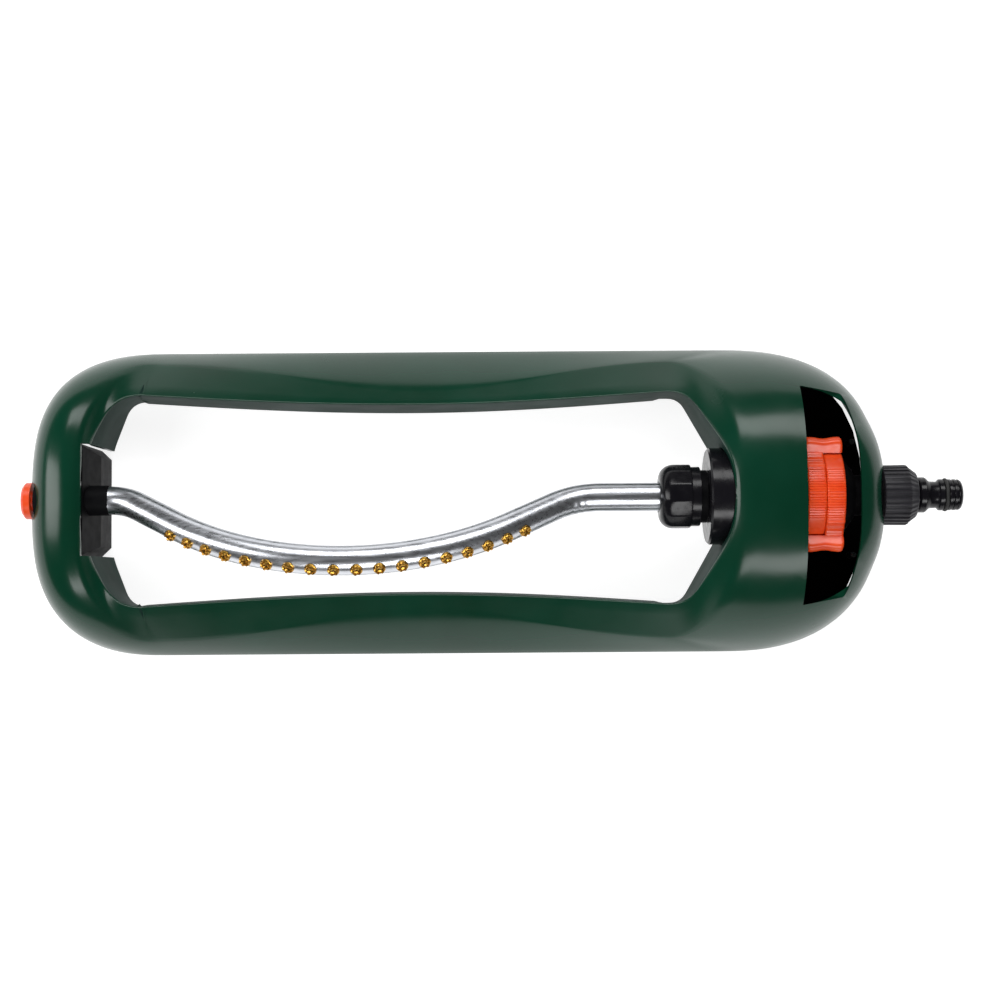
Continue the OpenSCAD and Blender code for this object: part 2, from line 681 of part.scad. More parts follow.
module connector_nut() {
    knurl_r = knurl_d / 2;
    flange_x = tail_in + 2.2;
    color("#303034") on_axis() {
        turned([[knurl_in, thread_d / 2 + run], [knurl_in, knurl_r - 1.2],
            [knurl_step + 0.6, knurl_r - 1.2], [knurl_out, tail_r + 2.3], [knurl_out, tail_r + clear],
            [flange_x, tail_r + clear], [flange_x, thread_d / 2 + run]]);
        for (a = [0:10:350]) rotate([a, 0, 0]) translate([knurl_in + 1, -0.8, knurl_r - 1.6])
            cube([knurl_step - knurl_in - 1, 1.6, 1.6]);
    }
}

module hose_tail() {
    ridge = tail_r + 1.05;
    neck = tail_r - 1.3;
    color("#111114") on_axis() turned([
        [tail_in, 5.2], [tail_in, thread_d / 2 - 0.25], [tail_in + 1.8, thread_d / 2 - 0.25],
        [tail_in + 1.8, tail_r], [knurl_out + 1.2, tail_r], [knurl_out + 2, ridge],
        [knurl_out + 5.2, ridge], [knurl_out + 6.2, neck], [knurl_out + 11, neck],
        [knurl_out + 11.8, tail_r], [knurl_out + 14.2, tail_r], [knurl_out + 14.2, neck - 0.2],
        [knurl_out + 16.6, neck - 0.2], [knurl_out + 16.6, tail_r], [tail_out - 1.3, tail_r],
        [tail_out, tail_r - 1.3], [tail_out, 5.2]]);
}

module tail_seal() {
    color("#202020") on_axis() translate([knurl_out + 15.4, 0, 0]) rotate([0, 90, 0])
        rotate_extrude($fn = 64) translate([tail_r - 0.45, 0]) circle(r = 1, $fn = 24);
}

// ---- underside ----

module cover_outline() {
    inset = wall + 2;
    half = [for (i = [0:end_n])
        corner(x_r - end_r, end_r - inset, half_w - inset, round_r, i / end_n)];
    far = [for (p = half) if (p[0] > top_r) p];
    edge_y = far[len(far) - 1][1];
    polygon(concat([for (i = [len(far) - 1:-1:1]) [far[i][0], -far[i][1]]], far,
        [[top_r, edge_y], [top_r, -edge_y]]));
}

module motor_cover() {
    color("#17181a") difference() {
        translate([0, 0, cover_z]) linear_extrude(height = cover_t) cover_outline();
        for (p = screw_spots) translate([p[0], p[1], 0]) cylinder(h = 6, r = 1.9, $fn = 24);
        for (x = [top_r + 20:7:top_r + 50]) translate([x, -14, 0]) cube([2.5, 28, 6]);
    }
}

module cover_screws() {
    color("#b9bcc0") for (p = screw_spots) translate([p[0], p[1], 0]) {
        translate([0, 0, cover_z - 1.5]) cylinder(h = 1.5, r = 3.2, $fn = 32);
        translate([0, 0, cover_z - 0.1]) cylinder(h = 12, r = 1.5, $fn = 24);
    }
}

frame_shell();
motor_cover();
cover_screws();
end_bearing();
end_trunnion();
cleaning_cap();
cleaning_needle();
cap_seal();
spray_tube();
for (i = [1:nozzles]) nozzle(i);
tube_nut();
tube_seal();
drive_spindle();
output_gear();
spindle_seal();
motor_flange();
flange_screws();
motor_case();
gear_plate();
main_axle();
lay_axle();
turbine_wheel();
first_lay_gear();
middle_gear();
second_lay_gear();
jet_plate();
reversing_valve();
trip_spring();
far_limit_ring();
near_limit_ring();
inlet_filter();
inlet_washer();
connector_nut();
hose_tail();
tail_seal();
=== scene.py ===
import json
import math
import bpy
import bmesh
from mathutils import Matrix, Vector


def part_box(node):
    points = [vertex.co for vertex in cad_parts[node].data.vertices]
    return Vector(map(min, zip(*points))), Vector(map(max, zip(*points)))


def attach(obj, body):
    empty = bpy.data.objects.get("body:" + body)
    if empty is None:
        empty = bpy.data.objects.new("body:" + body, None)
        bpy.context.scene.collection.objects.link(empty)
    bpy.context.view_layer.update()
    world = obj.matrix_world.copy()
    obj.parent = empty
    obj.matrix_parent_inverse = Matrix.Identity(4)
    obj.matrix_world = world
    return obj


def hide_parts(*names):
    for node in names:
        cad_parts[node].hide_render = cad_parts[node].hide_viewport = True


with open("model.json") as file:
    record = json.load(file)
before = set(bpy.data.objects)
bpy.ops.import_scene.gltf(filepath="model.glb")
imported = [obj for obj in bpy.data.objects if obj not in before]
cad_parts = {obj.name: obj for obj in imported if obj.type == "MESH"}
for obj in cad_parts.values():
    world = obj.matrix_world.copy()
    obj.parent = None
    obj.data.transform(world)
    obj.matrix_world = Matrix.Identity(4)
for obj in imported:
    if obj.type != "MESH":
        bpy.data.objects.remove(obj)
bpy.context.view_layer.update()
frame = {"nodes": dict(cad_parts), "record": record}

mm = 0.001
nodes = frame["nodes"]
scene = bpy.context.scene


# sRGB hex to the linear values that shaders and lamps take
def hexColour(code):
    parts = [int(code[i:i + 2], 16) / 255 for i in (1, 3, 5)]
    return [c / 12.92 if c <= 0.04045 else ((c + 0.055) / 1.055) ** 2.4 for c in parts] + [1.0]


# adds one node, with its settings, its own values and what feeds it
def addNode(tree, kind, settings=None, values=None, links=None):
    node = tree.nodes.new(kind)
    for name, value in (settings or {}).items():
        setattr(node, name, value)
    for name, value in (values or {}).items():
        node.inputs[name].default_value = value
    for name, source in (links or {}).items():
        tree.links.new(source, node.inputs[name])
    return node


# an empty material with its shader; constants go straight on the shader
def newMaterial(name, **values):
    material = bpy.data.materials.new(name)
    material.use_nodes = True
    tree = material.node_tree
    shader = tree.nodes["Principled BSDF"]
    for key, value in values.items():
        shader.inputs[key.replace("_", " ")].default_value = value
    place = addNode(tree, "ShaderNodeTexCoord").outputs["Object"]
    return material, tree, shader, place


# a ramp between two or more colours or levels
def addRamp(tree, source, stops):
    ramp = addNode(tree, "ShaderNodeValToRGB", links={"Fac": source})
    ends = ramp.color_ramp.elements
    while len(ends) < len(stops):
        ends.new(0.5)
    for end, (at, value) in zip(ends, stops):
        end.position = at
        end.color = hexColour(value) if isinstance(value, str) else [value, value, value, 1]
    return ramp.outputs["Color"]


# moulded plastic: pigment drift, a little haze in the gloss and the texture of the tool
def mouldedPlastic(name, colours, gloss, drift, grain, depth, ior=1.5, shine=0.5):
    material, tree, shader, place = newMaterial(name, IOR=ior, Specular_IOR_Level=shine)
    flow = addNode(tree, "ShaderNodeTexNoise", links={"Vector": place},
                   values={"Scale": 1 / (drift * mm), "Detail": 3.0, "Roughness": 0.55})
    tree.links.new(addRamp(tree, flow.outputs["Fac"], [(0.3, colours[0]), (0.7, colours[1])]),
                   shader.inputs["Base Color"])
    haze = addNode(tree, "ShaderNodeTexNoise", values={"Scale": 1 / (0.35 * drift * mm), "Detail": 5.0},
                   links={"Vector": place})
    tree.links.new(addRamp(tree, haze.outputs["Fac"], [(0.35, gloss[0]), (0.75, gloss[1])]),
                   shader.inputs["Roughness"])
    skin = addNode(tree, "ShaderNodeTexNoise", values={"Scale": 1 / (grain * mm), "Detail": 2.0},
                   links={"Vector": place})
    bump = addNode(tree, "ShaderNodeBump", values={"Strength": 0.35, "Distance": depth * mm},
                   links={"Height": skin.outputs["Fac"]})
    tree.links.new(bump.outputs["Normal"], shader.inputs["Normal"])
    return material


# ABS moulded in a polished tool: deep bottle green with crisp reflections
greenAbs = mouldedPlastic("greenAbsMoulded", ["#04301f", "#063827"], [0.2, 0.28], 60, 1.6, 0.004, 1.5, 0.3)
# the same ABS, matt inside the walls as from a spark-eroded tool face; its darker green is painted shade for
# the walls of the opening
greenAbsMattPaintedShade = mouldedPlastic("greenAbsMattPaintedShadeWall",
                              ["#03221a", "#052a22"], [0.6, 0.7], 60, 0.8, 0.03, 1.5, 0.12)
# ABS in signal orange, half gloss from the tool
orangeAbs = mouldedPlastic("orangeAbsMoulded", ["#e8430f", "#ee5320"], [0.28, 0.4], 8, 0.7, 0.03, 1.53)
# ABS in black from a polished tool, as on the nut and the tail
blackAbs = mouldedPlastic("blackAbsMoulded", ["#0d0c10", "#141317"], [0.18, 0.3], 12, 1.2, 0.02, 1.53, 0.22)
# acetal in black, satin all over
blackAcetal = mouldedPlastic("blackAcetalMoulded",
                             ["#0a0a0c", "#101012"], [0.5, 0.6], 14, 0.6, 0.03, 1.48, 0.06)
# glass-filled nylon in grey black, matt from the fibres at its skin
greyNylon = mouldedPlastic("greyNylonMoulded", ["#222125", "#2c2b30"], [0.42, 0.56], 6, 0.4, 0.04, 1.53, 0.3)
# natural acetal, milky
naturalAcetal = mouldedPlastic("naturalAcetalMoulded",
                               ["#dcd8cc", "#e6e2d8"], [0.35, 0.45], 6, 0.5, 0.02, 1.48)
# acetal with an orange pigment
orangeAcetal = mouldedPlastic("orangeAcetalMoulded",
                              ["#c8641e", "#d4732a"], [0.35, 0.45], 6, 0.5, 0.02, 1.48)
# nitrile rubber, dull and slightly dusty
nitrileRubber = mouldedPlastic("nitrileRubberMoulded",
                               ["#151515", "#1e1e1d"], [0.6, 0.75], 3, 0.3, 0.04, 1.52)


# drawn aluminium tube: bright, with fine draw lines along it and a soft haze
def drawnAluminium():
    material, tree, shader, place = newMaterial("aluminiumDrawn", Metallic=1.0)
    lines = addNode(tree, "ShaderNodeMapping", values={"Scale": (40, 900, 900)}, links={"Vector": place})
    draw = addNode(tree, "ShaderNodeTexNoise", values={"Scale": 1.0, "Detail": 2.0},
                   links={"Vector": lines.outputs["Vector"]})
    cloud = addNode(tree, "ShaderNodeTexNoise", values={"Scale": 1 / (14 * mm), "Detail": 4.0},
                    links={"Vector": place})
    tree.links.new(addRamp(tree, cloud.outputs["Fac"], [(0.3, "#c9ccd2"), (0.7, "#d8dadf")]),
                   shader.inputs["Base Color"])
    tree.links.new(addRamp(tree, draw.outputs["Fac"], [(0.3, 0.24), (0.7, 0.36)]),
                   shader.inputs["Roughness"])
    bump = addNode(tree, "ShaderNodeBump", values={"Strength": 0.3, "Distance": 0.02 * mm},
                   links={"Height": draw.outputs["Fac"]})
    tree.links.new(bump.outputs["Normal"], shader.inputs["Normal"])
    return material


# turned metal: rings left by the tool show as a fine ripple in the gloss
def turnedMetal(name, colours, gloss, pitch):
    material, tree, shader, place = newMaterial(name, Metallic=1.0)
    cloud = addNode(tree, "ShaderNodeTexNoise", values={"Scale": 1 / (2.5 * mm), "Detail": 4.0},
                    links={"Vector": place})
    tree.links.new(addRamp(tree, cloud.outputs["Fac"], [(0.3, colours[0]), (0.7, colours[1])]),
                   shader.inputs["Base Color"])
    grain = addNode(tree, "ShaderNodeTexNoise", values={"Scale": 1 / (pitch * mm), "Detail": 2.0},
                    links={"Vector": place})
    tree.links.new(addRamp(tree, grain.outputs["Fac"], [(0.3, gloss[0]), (0.7, gloss[1])]),
                   shader.inputs["Roughness"])
    bump = addNode(tree, "ShaderNodeBump", values={"Strength": 0.4, "Distance": 0.02 * mm},
                   links={"Height": grain.outputs["Fac"]})
    tree.links.new(bump.outputs["Normal"], shader.inputs["Normal"])
    return material


aluminium = drawnAluminium()
brass = turnedMetal("brassTurned", ["#a97c30", "#cfa24c"], [0.2, 0.34], 0.35)
steel = turnedMetal("stainlessTurned", ["#a9adb2", "#bcc0c4"], [0.22, 0.34], 0.3)

finishes = {"green_shell": greenAbs, "black_plastic": blackAcetal, "black_gloss": blackAbs,
            "grey_plastic": greyNylon, "orange_plastic": orangeAbs, "gear_plastic": naturalAcetal,
            "turbine_plastic": orangeAcetal, "filter_plastic": naturalAcetal, "aluminium": aluminium,
            "brass": brass, "steel": steel, "rubber": nitrileRubber}
slotOf = {part["node"]: part["material_slot"] for part in frame["record"]["subparts"]}


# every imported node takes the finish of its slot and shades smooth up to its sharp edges
def dressNode(name):
    piece = nodes[name]
    piece.data.materials.clear()
    piece.data.materials.append(finishes[slotOf[name]])
    bpy.context.view_layer.objects.active = piece
    piece.select_set(True)
    bpy.ops.object.shade_smooth_by_angle(angle=math.radians(32))
    piece.select_set(False)


for name in nodes:
    dressNode(name)
print("packed nodes dressed:", len(nodes))


# ---- the shell ----

# sizes in mm; the ends are measured from the shell's own box
shellForm = {"crestPlain": 59.0, "crestInlet": 69.0, "rail": 36.0, "wall": 2.4,
             "openingHalf": 54.8, "railBow": 6.0, "creaseHalf": 72.3, "creaseBow": 15.0,
             "creaseLow": 18.0, "creaseRise": 11.0, "narrowest": 0.52,
             "endPlain": 67.0, "endInlet": 80.6, "squarePlain": 2.86, "squareInlet": 2.6,
             "fullPlain": 2.8, "fullInlet": 3.5, "creaseEdge": (1.6, 7.0), "ridgeEdge": (1.3, 3.2),
             "window": (36.4, 64.0), "capHole": 9.75, "flangeHole": 25.1, "inletHole": 16.1,
             "blockHalf": 28.5}
shellLow, shellHigh = [[c / mm for c in corner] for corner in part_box("frame_shell")]
plainX, inletX, halfWide = shellLow[0], shellHigh[0], shellHigh[1]
plainWall, inletWall = plainX + 35.8, inletX - 81.2
plainCrest, inletCrest = plainX + 28.8, inletX - 73.7


def mix(a, b, t):
    if isinstance(a, (list, tuple)):
        return [p * (1 - t) + q * t for p, q in zip(a, b)]
    return a * (1 - t) + b * t


# quarter of a superellipse, from the middle of an end to the rail
def roundEnd(centre, reach, half, square, v):
    return [centre + reach * max(0.0, math.cos(math.pi / 2 * v)) ** (2 / square),
            half * math.sin(math.pi / 2 * v) ** (2 / square)]


def turnBetween(before, corner, after, cut):
    toward = [Vector(before) - Vector(corner), Vector(after) - Vector(corner)]
    start, end = [list(Vector(corner) + t.normalized() * cut) for t in toward]
    return [mix(mix(start, corner, i / 16), mix(corner, end, i / 16), i / 16) for i in range(17)]


# point at a share of a path's length
def alongPath(path, share):
    steps = [math.dist(a, b) for a, b in zip(path, path[1:])]
    left = share * sum(steps)
    for a, b, step in zip(path, path[1:], steps):
        if left <= step:
            return mix(a, b, left / step if step else 0)
        left -= step
    return list(path[-1])


def railBow(u):
    mid = shellForm["narrowest"]
    return math.cos(math.pi / 2 * ((mid - u) / mid if u < mid else (u - mid) / (1 - mid)))


def swell(v):
    return math.cos(math.pi / 2 * v ** 1.3) ** 2


def slantedWall(turns, cuts):
    return ([turns[0]] + turnBetween(turns[0], turns[1], turns[2], cuts[0])
            + turnBetween(turns[1], turns[2], turns[3], cuts[1]) + [turns[3]])


def innerPaths(out):
    half = shellForm["openingHalf"]
    plain = slantedWall([[plainWall - 1.5 * out, 0], [plainWall - 1.5 * out, 25],
                         [plainWall + 11.5 - 0.4 * out, half + 0.3 * out], [plainWall + 20, half]],
                        [10, 8 + 6 * out])
    inlet = slantedWall([[inletWall, 0], [inletWall, 18], [inletWall - 21 + 0.8 * out, half],
                         [inletWall - 31, half]], [8 + 4 * out, 6 + 4 * out])
    return plain, inlet


wallPaths = {0: innerPaths(0), 1: innerPaths(1)}


# base, crease, ridge and foot of the wall at one place round the loop
def stationLines(part, v):
    form = shellForm
    rise = railBow(v) if part == 1 else 0
    up = swell(v)
    if part == 0:
        base = roundEnd(plainX + form["endPlain"], -form["endPlain"], halfWide, form["squarePlain"], v)
        crease = roundEnd(plainCrest + 37, -37, form["creaseHalf"], 2.4, v)
        top, ridgeTop, full = form["crestPlain"], form["crestPlain"] - 6, form["fullPlain"]
    elif part == 2:
        base = roundEnd(inletX - form["endInlet"], form["endInlet"], halfWide, form["squareInlet"], v)
        crease = roundEnd(inletCrest - 35, 35, form["creaseHalf"], 2, v)
        top, ridgeTop = form["crestInlet"], form["crestInlet"] - 2.5
        full = form["fullInlet"] + (1.9 * math.cos(math.pi / 2 * v / 0.3) ** 2 if v < 0.3 else 0)
    else:
        base = [mix(plainX + form["endPlain"], inletX - form["endInlet"], v), halfWide]
        crease = [mix(plainCrest + 37, inletCrest - 35, v),
                  form["creaseHalf"] - form["creaseBow"] * rise ** 2]
    inner = []
    for out in (1, 0):
        if part == 1:
            inner.append([mix(plainWall + 20, inletWall - 31, v),
                          form["openingHalf"] - 0.8 * (1 - out) - form["railBow"] * rise])
        else:
            inner.append(alongPath(wallPaths[out][part // 2], v))
    if part == 1:
        heights = (form["creaseLow"] + form["creaseRise"] * rise ** 2, form["rail"], 1.15)
    else:
        heights = (mix(form["creaseLow"], top, up), mix(form["rail"], ridgeTop, up),
                   mix(1.15, full, up ** 0.6))
    return base, crease, inner, heights, (0 if part == 1 else up)


def evenly(path, count, start, end):
    steps = [0]
    for a, b in zip(path, path[1:]):
        steps.append(steps[-1] + math.dist(a, b))
    found, k = [], 0
    for i in range(count):
        want = mix(start, steps[-1] - end, i / (count - 1))
        while k < len(steps) - 2 and steps[k + 1] < want:
            k += 1
        span = steps[k + 1] - steps[k]
        found.append(mix(path[k], path[k + 1], (want - steps[k]) / span if span else 0))
    return found


def bendThrough(before, corner, after, count):
    return [mix(mix(before, corner, i / (count + 1)), mix(corner, after, i / (count + 1)), i / (count + 1))
            for i in range(1, count + 1)]


# one section from the base over the crest to the foot of the inner wall, with its edges rounded
def shellStation(part, v):
    base, crease, inner, (top, ridgeTop, full), up = stationLines(part, v)
    power = 2 / full
    outer = []
    for i in range(41):
        a = math.pi / 2 * i / 40
        across = mix(base, crease, 1 - max(0.0, math.cos(a)) ** power)
        outer.append([*across, top * math.sin(a) ** power])
    corner = outer[-1]
    ridge, foot = [*inner[0], ridgeTop], [*inner[1], 0.0]
    span = math.dist(corner, ridge)
    soft = min(mix(*shellForm["creaseEdge"], up), 0.55 * span)
    edge = min(mix(*shellForm["ridgeEdge"], up), 0.4 * span)
    skin = evenly(outer, 16, 0, soft)
    start, end = mix(corner, ridge, soft / span), mix(ridge, corner, edge / span)
    drop = mix(ridge, foot, edge / ridgeTop)
    return (skin + bendThrough(skin[-1], corner, start, 5) + [mix(start, end, i / 3) for i in range(4)]
            + bendThrough(end, ridge, drop, 3) + [mix(drop, foot, i / 6) for i in range(7)])


def makeMesh(name, points, faces):
    mesh = bpy.data.meshes.new(name)
    mesh.from_pydata([[c * mm for c in p] for p in points], [], faces)
    mesh.validate()
    made = bpy.data.objects.new(name, mesh)
    scene.collection.objects.link(made)
    return made


# turns every face of a closed shape outward
def faceOut(piece):
    form = bmesh.new()
    form.from_mesh(piece.data)
    bmesh.ops.recalc_face_normals(form, faces=form.faces)
    form.to_mesh(piece.data)
    form.free()
    return piece


# freezes the modifiers of a piece into its mesh
def settle(piece):
    bpy.context.view_layer.update()
    shape = bpy.data.meshes.new_from_object(piece.evaluated_get(bpy.context.evaluated_depsgraph_get()))
    piece.modifiers.clear()
    piece.data = shape


def cutAway(piece, cutters):
    for cutter in cutters:
        cut = piece.modifiers.new("cut", "BOOLEAN")
        cut.operation, cut.solver, cut.object = "DIFFERENCE", "EXACT", cutter
    settle(piece)
    for cutter in cutters:
        bpy.data.objects.remove(cutter)


# closed solid from an outline in x and y, between two heights
def prism(name, outline, low, high):
    count = len(outline)
    points = [[x, y, z] for z in (low, high) for x, y in outline]
    sides = [[i, (i + 1) % count, (i + 1) % count + count, i + count] for i in range(count)]
    return faceOut(makeMesh(name, points, [list(range(count)), [i + count for i in range(count)]] + sides))


# round solid along X from pairs of x and radius, the first and last closed to a point
def turnedShape(name, profile, sides=96, height=41.0):
    points, faces = [], []
    for x, r in profile:
        for k in range(sides):
            a = 2 * math.pi * k / sides
            points.append([x, r * math.cos(a), height + r * math.sin(a)])
    for i in range(len(profile) - 1):
        for k in range(sides):
            n = (k + 1) % sides
            faces.append([i * sides + k, (i + 1) * sides + k, (i + 1) * sides + n, i * sides + n])
    return faceOut(makeMesh(name, points, faces + [list(range(sides)),
                                                   [(len(profile) - 1) * sides + k for k in range(sides)]]))


def smoothPiece(piece, finish, angle=32):
    for made in finish if isinstance(finish, list) else [finish]:
        piece.data.materials.append(made)
    bpy.context.view_layer.objects.active = piece
    piece.select_set(True)
    bpy.ops.object.shade_smooth_by_angle(angle=math.radians(angle))
    piece.select_set(False)


def addBevel(piece, width, segments=2, angle=34):
    bevel = piece.modifiers.new("edge", "BEVEL")
    bevel.width, bevel.segments = width * mm, segments
    bevel.limit_method, bevel.angle_limit = "ANGLE", math.radians(angle)
    bevel.use_clamp_overlap = True
    bevel.miter_outer = "MITER_ARC"
    return bevel


def makeShell():
    half = ([(0, i / 30) for i in range(30)] + [(1, i / 74) for i in range(74)]
            + [(2, i / 34) for i in range(34, -1, -1)])
    sections = [shellStation(*place) for place in half]
    sections += [[[x, -y, z] for x, y, z in s] for s in sections[-2:0:-1]]
    count, rows = len(sections[0]), len(sections)
    faces = [[i * count + j, i * count + j + 1, (i + 1) % rows * count + j + 1, (i + 1) % rows * count + j]
             for i in range(rows) for j in range(count - 1)]
    shell = makeMesh("shellMoulding", [p for s in sections for p in s], faces)
    for finish in (greenAbs, greenAbsMattPaintedShade):
        shell.data.materials.append(finish)
    # the upright walls of the opening are matt and take the darker green, which is painted shade
    for i, face in enumerate(shell.data.polygons):
        face.material_index = 1 if i % (count - 1) >= count - 8 else 0
    form = bmesh.new()
    form.from_mesh(shell.data)
    bmesh.ops.recalc_face_normals(form, faces=form.faces)
    if sum(f.normal.z * f.calc_area() for f in form.faces) < 0:
        bmesh.ops.reverse_faces(form, faces=form.faces)
    form.to_mesh(shell.data)
    form.free()
    wall = shell.modifiers.new("wall", "SOLIDIFY")
    wall.thickness, wall.offset, wall.use_even_offset = shellForm["wall"] * mm, -1, False
    wall.thickness_clamp = 1.0
    wall.material_offset = 1
    settle(shell)
    windowIn, windowOut = [inletWall + reach for reach in shellForm["window"]]
    capHole, flangeHole, inletHole, blockHalf = [shellForm[key] for key in (
        "capHole", "flangeHole", "inletHole", "blockHalf")]
    corner = [[windowOut - 6 * (t / 12) ** 4, 52 * t / 12] for t in range(12, -13, -1)]
    cutters = [prism("windowCut", [[windowIn, -56], [windowIn, 56]] + corner, 45, 120),
               turnedShape("capCut", [(plainX - 5, capHole), (plainX + 22, capHole)]),
               turnedShape("flangeCut", [(inletWall - 14, flangeHole), (inletWall + 2.9, flangeHole)]),
               turnedShape("inletCut", [(inletX - 12, inletHole), (inletX + 5, inletHole)]),
               prism("blockCut", [[plainWall - 3.5, -blockHalf], [plainWall + 12, -blockHalf],
                                  [plainWall + 12, blockHalf], [plainWall - 3.5, blockHalf]], -1, 59)]
    cutAway(shell, cutters)
    return shell


shellPiece = makeShell()
addBevel(shellPiece, 0.5, 2, 50)
smoothPiece(shellPiece, [], 40)
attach(shellPiece, "base")
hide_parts("frame_shell")
print("shell moulded:", len(shellPiece.data.polygons), "faces")


# ---- spray tube and nozzles ----

# the arch in its own plane, in mm and degrees
tubeForm = {"radius": 7.3, "archX": plainX + 167.0, "rise": 50.0, "archRadius": 143.0, "lean": 40.0,
            "bends": (37.0, 35.3), "bendRadii": (26.0, 41.4), "axis": 41.0}
nozzleForm = {"count": 18, "pitch": 10.65, "first": 1.7 - 8.5 * 10.65, "flange": 3.05, "crown": 2.5,
              "height": 2.05, "claws": 6}


# x, height and slope along the middle of the tube
def tubeLine():
    form = tubeForm
    (left, right), (radL, radR) = [math.radians(a) for a in form["bends"]], form["bendRadii"]
    rise, arch, x = form["rise"], form["archRadius"], form["archX"]
    legL = (rise - (arch + radL) * (1 - math.cos(left))) / math.sin(left)
    legR = (rise - (arch + radR) * (1 - math.cos(right))) / math.sin(right)
    startX = x - (arch + radL) * math.sin(left) - legL * math.cos(left)
    endX = x + (arch + radR) * math.sin(right) + legR * math.cos(right)
    line = [(startX - 20 + 2 * i, 0, 0) for i in range(10)]
    line += [(startX + radL * math.sin(a), radL * (1 - math.cos(a)), a)
             for a in [left * i / 16 for i in range(17)]]
    line += [(x - arch * math.sin(a), rise - arch * (1 - math.cos(a)), a)
             for a in [mix(left, -right, i / 60) for i in range(61)]]
    line += [(endX + radR * math.sin(a), radR * (1 - math.cos(a)), a)
             for a in [-right * (1 - i / 24) for i in range(25)]]
    return line + [(mix(endX, inletWall - 24, i / 12), 0, 0) for i in range(1, 13)], endX


# from the plane of the arch to where it rests
def leaned(x, across, up):
    lean = math.radians(tubeForm["lean"])
    return [x, across * math.cos(lean) - up * math.sin(lean),
            tubeForm["axis"] + across * math.sin(lean) + up * math.cos(lean)]


def makeTube(sides=56):
    line, bendX = tubeLine()
    points, faces = [], []
    for x, h, slope in line:
        for k in range(sides):
            a = 2 * math.pi * k / sides
            # the press leaves small wrinkles on the inside of the inlet bend
            near = math.exp(-((x - bendX + 12) / 7) ** 2) * max(0, math.cos(a)) ** 3
            r = tubeForm["radius"] * (1 - 0.016 * near * (1 + math.cos((x - bendX) * 1.5)))
            c = r * math.cos(a)
            points.append(leaned(x - c * math.sin(slope), r * math.sin(a), h + c * math.cos(slope)))
    for i in range(len(line) - 1):
        for k in range(sides):
            n = (k + 1) % sides
            faces.append([i * sides + k, i * sides + n, (i + 1) * sides + n, (i + 1) * sides + k])
    return faceOut(makeMesh("sprayTubeBent", points, faces))


# frame at a run along the arch: place, direction along it and direction outward
def atRun(run):
    form = tubeForm
    arc = [form["archRadius"] * math.radians(a) for a in form["bends"]]
    held = min(max(run, -arc[0]), arc[1])
    turn, past = held / form["archRadius"], run - held
    out = (math.sin(turn), math.cos(turn))
    way = (math.cos(turn), -math.sin(turn))
    centre = (form["archX"], form["rise"] - form["archRadius"])
    return [centre[k] + way[k] * past + out[k] * form["archRadius"] for k in (0, 1)], way, out


# each nozzle is a flange with a crown of small claws round a dished centre
def makeNozzles(sides=36):
    form, points, faces = nozzleForm, [], []
    seat = tubeForm["radius"] - 0.15
    for i in range(form["count"]):
        (x, h), way, out = atRun(form["first"] + i * form["pitch"])
        rings = [(form["flange"], 0, 0), (form["flange"], 0.75, 0), (form["crown"] + 0.15, 0.95, 0),
                 (form["crown"], form["height"], 1), (form["crown"] - 0.75, form["height"] + 0.05, 1),
                 (form["crown"] - 1.0, 1.2, 0), (0.62, 1.0, 0), (0.5, 0.1, 0)]
        first = len(points)
        for r, up, claw in rings:
            for k in range(sides):
                a = 2 * math.pi * k / sides
                gap = claw and (k * form["claws"] * 2 // sides) % 2
                lift = seat + up - (0.75 if gap else 0)
                along, across = r * math.cos(a), r * math.sin(a)
                points.append(leaned(x + way[0] * along + out[0] * lift, across,
                                     h + way[1] * along + out[1] * lift))
        for j in range(len(rings) - 1):
            for k in range(sides):
                n = (k + 1) % sides
                a, b = first + j * sides, first + (j + 1) * sides
                faces.append([a + k, a + n, b + n, b + k])
        faces.append([first + (len(rings) - 1) * sides + k for k in range(sides)])
    return faceOut(makeMesh("nozzleCrowns", points, faces))


def place(piece, finish, body, slot, stands, angle=32):
    smoothPiece(piece, finish, angle)
    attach(piece, body)
    if stands:
        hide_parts(*stands)


tubePiece = makeTube()
place(tubePiece, aluminium, "tube", "aluminium", ["spray_tube"], 60)
nozzlePiece = makeNozzles()
place(nozzlePiece, brass, "tube", "brass", [f"nozzle_{i:02d}" for i in range(1, 19)], 34)
print("tube and nozzles made")


# ---- nut, flange and hose tail ----

# round shape along X whose radius may change round it; rings are x, radius and depth of that change
def shapedTurn(name, rings, wave, sides=144, lean=False):
    points, faces = [], []
    for x, r, depth in rings:
        for k in range(sides):
            a = 2 * math.pi * k / sides
            rr = r - depth * wave(a)
            if lean:
                points.append(leaned(x, rr * math.sin(a), rr * math.cos(a)))
            else:
                points.append([x, rr * math.sin(a), tubeForm["axis"] + rr * math.cos(a)])
    for i in range(len(rings) - 1):
        for k in range(sides):
            n = (k + 1) % sides
            faces.append([i * sides + k, i * sides + n, (i + 1) * sides + n, (i + 1) * sides + k])
    return faceOut(makeMesh(name, points, faces))


# twelve flats: how far a flat lies inside the round
def flats(a, count=12):
    half = math.pi / count
    return 1 - math.cos(half) / math.cos((a % (2 * half)) - half)


nutIn = inletWall - 35.7
nutForm = {"radius": 16.5, "bore": 7.5, "facets": 24.0, "step": 16.2, "neck": 15.3, "length": 20.9}


